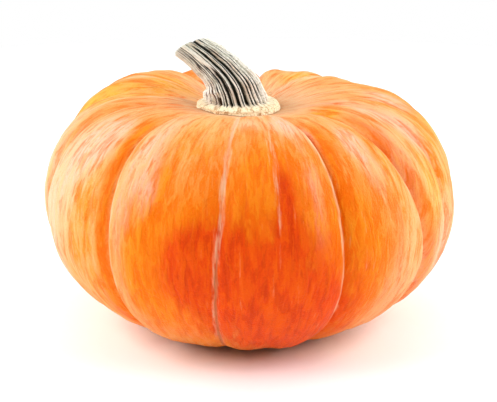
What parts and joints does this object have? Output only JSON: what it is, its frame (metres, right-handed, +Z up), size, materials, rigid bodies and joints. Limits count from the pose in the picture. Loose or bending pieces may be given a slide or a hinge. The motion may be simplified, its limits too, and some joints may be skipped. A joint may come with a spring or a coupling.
{
  "type": "pumpkin",
  "caption": "Ripe orange pumpkin with uneven rounded ribs and a ridged, dried, bent stem on a corky collar, standing on its flattened blossom end.",
  "frame": {"origin": "under the centre of the whole part's box, on the surface that the pumpkin stands on", "axes": "+Z up along the fruit's axis, from the blossom end to the stem; -Y to the front, with the stem bent over towards -X"},
  "size_m": [0.2568, 0.2574, 0.1819],
  "materials": {
    "skin": "satin waxy rind, mottled orange with fine pale streaks and cream lines in the furrows",
    "dry_stem": "dry, matt, corky; grey-green cream ridges with nearly black grooves"
  },
  "bodies": {
    "root": {"fruit": "skin", "stem": "dry_stem"}
  },
  "joints": []
}
